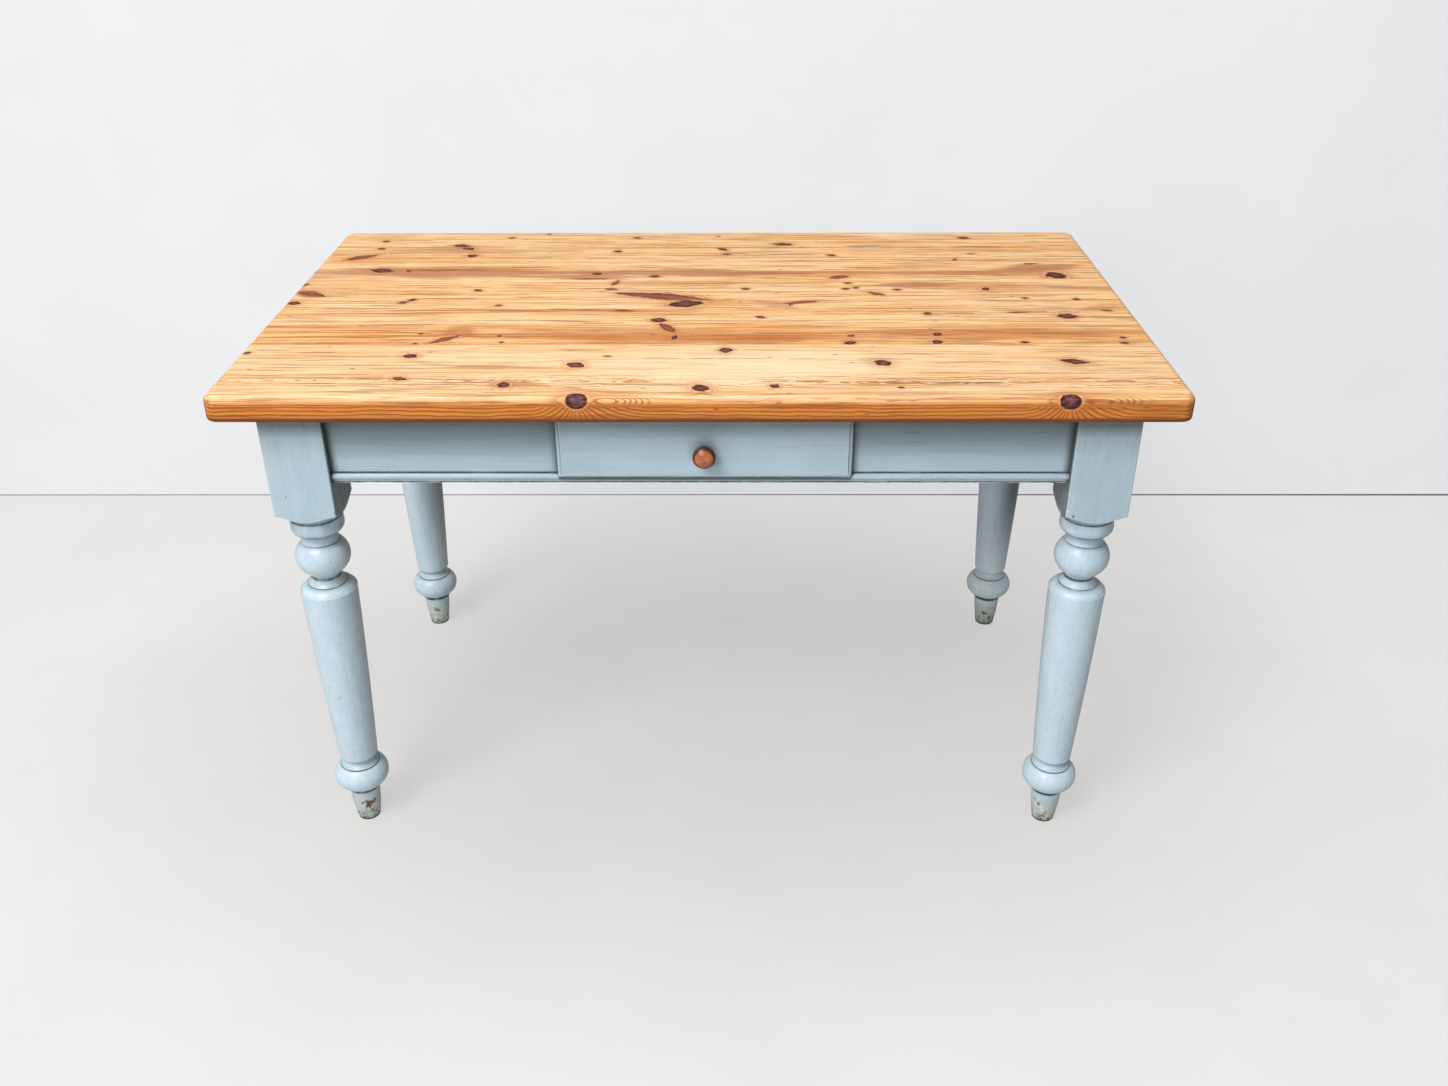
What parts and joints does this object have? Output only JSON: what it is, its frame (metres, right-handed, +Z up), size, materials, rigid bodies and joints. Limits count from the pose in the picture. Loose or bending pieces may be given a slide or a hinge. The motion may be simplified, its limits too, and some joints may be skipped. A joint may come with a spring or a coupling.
{
  "type": "kitchen table",
  "caption": "Boarded rectangular pine table on turned and tapered painted legs, with beaded aprons and a lipped, dovetailed drawer in the front.",
  "frame": {"origin": "on the floor under the middle of the table top", "axes": "+X along the table to the right as seen from the drawer, +Y to the back, +Z up"},
  "size_m": [1.29, 0.745, 0.77],
  "materials": {
    "pine_top": "waxed knotty pine, satin",
    "blue_grey_paint": "wood under blue-grey eggshell paint, worn at edges",
    "bare_pine": "bare planed pine",
    "knob_wood": "reddish turned wood, polished",
    "steel": "plain screws and pins"
  },
  "bodies": {
    "table": {"back_apron": "blue_grey_paint", "back_bead": "blue_grey_paint", "button_screws": "steel", "drawer_guide_left": "bare_pine", "drawer_guide_right": "bare_pine", "drawer_kicker_left": "bare_pine", "drawer_kicker_right": "bare_pine", "drawer_runner_left": "bare_pine", "drawer_runner_right": "bare_pine", "drawer_stop_left": "bare_pine", "drawer_stop_right": "bare_pine", "front_bead": "blue_grey_paint", "front_bottom_rail": "blue_grey_paint", "front_panel_left": "blue_grey_paint", "front_panel_right": "blue_grey_paint", "front_top_rail": "blue_grey_paint", "kicker_screws": "steel", "leg_back_left": "blue_grey_paint", "leg_back_right": "blue_grey_paint", "leg_front_left": "blue_grey_paint", "leg_front_right": "blue_grey_paint", "side_apron_left": "blue_grey_paint", "side_apron_right": "blue_grey_paint", "side_bead_left": "blue_grey_paint", "side_bead_right": "blue_grey_paint", "top_board_1": "pine_top", "top_board_2": "pine_top", "top_board_3": "pine_top", "top_board_4": "pine_top", "top_board_5": "pine_top", "top_board_6": "pine_top", "top_board_7": "pine_top", "top_buttons": "bare_pine"},
    "drawer": {"drawer_front": "blue_grey_paint", "drawer_side_left": "bare_pine", "drawer_side_right": "bare_pine", "drawer_back": "bare_pine", "drawer_bottom": "bare_pine", "drawer_bottom_pins": "steel", "drawer_knob": "knob_wood"}
  },
  "joints": [
    {"name": "drawer_slide", "type": "slide", "parent": "table", "child": "drawer", "axis": [0, -1, 0], "range_m": [0, 0.36]}
  ]
}
